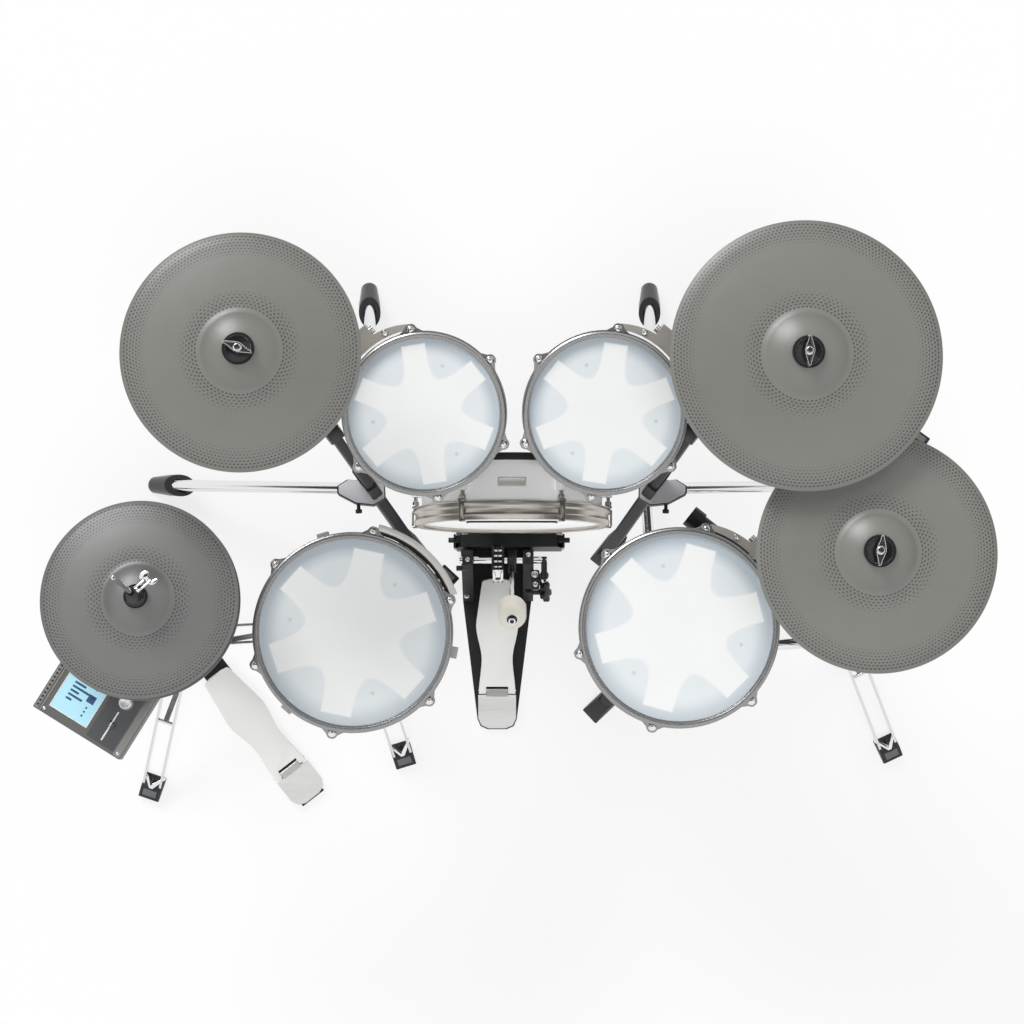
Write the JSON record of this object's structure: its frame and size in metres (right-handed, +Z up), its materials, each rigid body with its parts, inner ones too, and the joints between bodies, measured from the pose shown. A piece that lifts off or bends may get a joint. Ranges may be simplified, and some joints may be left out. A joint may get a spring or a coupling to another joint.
{
  "type": "electronic drum kit",
  "caption": "electronic drum kit with mesh-head pads on leaning posts and tripods, pad cymbals, pedal-driven hi-hat, kick pad with chain pedal and a sound module",
  "frame": {"origin": "floor point under the middle of the kit's bounding box", "axes": "+X to the drummer's right, +Y away from the drummer, +Z up; the drummer sits on the -Y side"},
  "size_m": [1.4838, 0.9238, 1.0696],
  "materials": {
    "shell_black": "matte dark pad shell",
    "hoop_grey": "satin dark grey hoop",
    "head_mesh": "translucent white mesh head",
    "plate_white": "white trigger plate",
    "bracket_brown": "brown-grey bracket",
    "bass_champagne": "champagne grey-brown",
    "frame_black": "matte black frame",
    "pedal_aluminium": "satin cast footboard",
    "steel": "bright plated steel",
    "chain_black": "blackened chain",
    "felt_cream": "pressed felt",
    "felt_black": "black felt washer",
    "cymbal_grey": "matte warm grey playing surface",
    "tube_black": "satin black tube",
    "block_grey": "grey moulded block",
    "rubber_dark": "dark grey rubber",
    "module_grey": "warm grey moulding",
    "screen": "lit blue screen",
    "knob_silver": "silver control"
  },
  "bodies": {
    "stands": {"bass_head": "head_mesh", "bass_hoops": "bass_champagne", "bass_riser": "frame_black", "bass_shell": "bass_champagne", "crash_stand_tube": "tube_black", "cymbal_felts": "felt_black", "cymbal_rods": "steel", "cymbal_wing_nuts": "steel", "floor_post": "tube_black", "hihat_bottom_cymbal": "cymbal_grey", "hihat_tube": "tube_black", "left_post": "tube_black", "module_arm": "tube_black", "pedal_bases": "frame_black", "pedal_heel_plates": "pedal_aluminium", "rack_feet": "rubber_dark", "rack_leg_blocks": "block_grey", "rack_legs": "steel", "right_post": "tube_black", "snare_stand_tube": "tube_black", "tom_arms": "steel", "tripod_feet": "rubber_dark", "tripod_legs": "steel"},
    "left_crash": {"left_crash": "cymbal_grey"},
    "ride": {"ride": "cymbal_grey"},
    "right_crash": {"right_crash": "cymbal_grey"},
    "snare": {"snare_shell": "shell_black", "snare_hoop": "hoop_grey", "snare_head": "head_mesh", "snare_star": "plate_white", "snare_bracket": "bracket_brown", "snare_basket": "tube_black"},
    "kick_pedal": {"kick_footboard": "pedal_aluminium"},
    "kick_beater": {"kick_shaft": "steel", "kick_beater_rod": "steel", "kick_beater_felt": "felt_cream", "kick_chain": "chain_black", "kick_spring": "steel"},
    "hihat_pedal": {"hihat_footboard": "pedal_aluminium"},
    "hihat_top": {"hihat_top_cymbal": "cymbal_grey", "hihat_pull_rod": "steel"},
    "module": {"module_housing": "module_grey", "module_screen": "screen"},
    "module_knob": {"module_knob": "knob_silver"},
    "module_slider": {"module_slider": "knob_silver"},
    "floor_tom": {"floor_tom_shell": "shell_black", "floor_tom_hoop": "hoop_grey", "floor_tom_head": "head_mesh", "floor_tom_star": "plate_white", "floor_tom_bracket": "bracket_brown"},
    "left_tom": {"left_tom_shell": "shell_black", "left_tom_hoop": "hoop_grey", "left_tom_head": "head_mesh", "left_tom_star": "plate_white", "left_tom_bracket": "bracket_brown"},
    "right_tom": {"right_tom_shell": "shell_black", "right_tom_hoop": "hoop_grey", "right_tom_head": "head_mesh", "right_tom_star": "plate_white", "right_tom_bracket": "bracket_brown"}
  },
  "joints": [
    {"name": "left_crash_swing", "type": "hinge", "parent": "stands", "child": "left_crash", "pos_m": [-0.39561, 0.21035, 1.012], "axis": [1, 0, 0], "range_deg": [-6, 6]},
    {"name": "ride_swing", "type": "hinge", "parent": "stands", "child": "ride", "pos_m": [0.43539, 0.20236, 1.037], "axis": [1, 0, 0], "range_deg": [-6, 6]},
    {"name": "right_crash_swing", "type": "hinge", "parent": "stands", "child": "right_crash", "pos_m": [0.54239, -0.08364, 0.98], "axis": [1, 0, 0], "range_deg": [-6, 6]},
    {"name": "kick_pedal_press", "type": "hinge", "parent": "stands", "child": "kick_pedal", "pos_m": [-0.02161, -0.25965, 0.024], "axis": [-1, 0, 0], "range_deg": [0, 7], "stiffness_Nm_per_rad": 12, "springref_deg": -8.59},
    {"name": "kick_beater_swing", "type": "hinge", "parent": "stands", "child": "kick_beater", "pos_m": [0.00439, -0.04065, 0.16], "axis": [-1, 0, 0], "range_deg": [0, 43.5], "deforming": ["kick_spring", "kick_chain"]},
    {"name": "hihat_pedal_press", "type": "hinge", "parent": "stands", "child": "hihat_pedal", "pos_m": [-0.38461, -0.39465, 0.024], "axis": [-0.7873, -0.6166, 0], "range_deg": [0, 7], "stiffness_Nm_per_rad": 8, "springref_deg": -28.65},
    {"name": "hihat_pull", "type": "slide", "parent": "stands", "child": "hihat_top", "axis": [-0.0295, 0.0632, 0.9976], "range_m": [-0.0222, 0]},
    {"name": "left_tom_tilt", "type": "hinge", "parent": "stands", "child": "left_tom", "pos_m": [-0.22921, 0.27457, 0.67822], "axis": [0.7771, 0.6198, 0.1093], "range_deg": [-8, 12]},
    {"name": "right_tom_tilt", "type": "hinge", "parent": "stands", "child": "right_tom", "pos_m": [0.24599, 0.27557, 0.67822], "axis": [0.7771, -0.6198, -0.1093], "range_deg": [-8, 12]},
    {"name": "floor_tom_tilt", "type": "hinge", "parent": "stands", "child": "floor_tom", "pos_m": [0.39733, -0.04895, 0.59575], "axis": [0.7022, -0.7111, -0.0373], "range_deg": [-5, 11]},
    {"name": "snare_tilt", "type": "hinge", "parent": "stands", "child": "snare", "pos_m": [-0.24661, -0.17743, 0.45521], "axis": [1, 0, 0], "range_deg": [-8, 12]},
    {"name": "module_tilt", "type": "hinge", "parent": "stands", "child": "module", "pos_m": [-0.57671, -0.18482, 0.616], "axis": [0.8508, -0.5255, 0], "range_deg": [-10, 25]},
    {"name": "module_knob_turn", "type": "hinge", "parent": "module", "child": "module_knob", "pos_m": [-0.5971, -0.29681, 0.65], "axis": [0, 0, 1], "continuous": true},
    {"name": "module_slider_slide", "type": "slide", "parent": "module", "child": "module_slider", "axis": [0.5255, 0.8508, 0], "range_m": [-0.02, 0.02]}
  ],
  "couplings": [
    {"joint": "kick_beater_swing", "follows": "kick_pedal_press", "ratio": 6.1429},
    {"joint": "hihat_pull", "follows": "hihat_pedal_press", "m_per_rad": -0.18007}
  ]
}
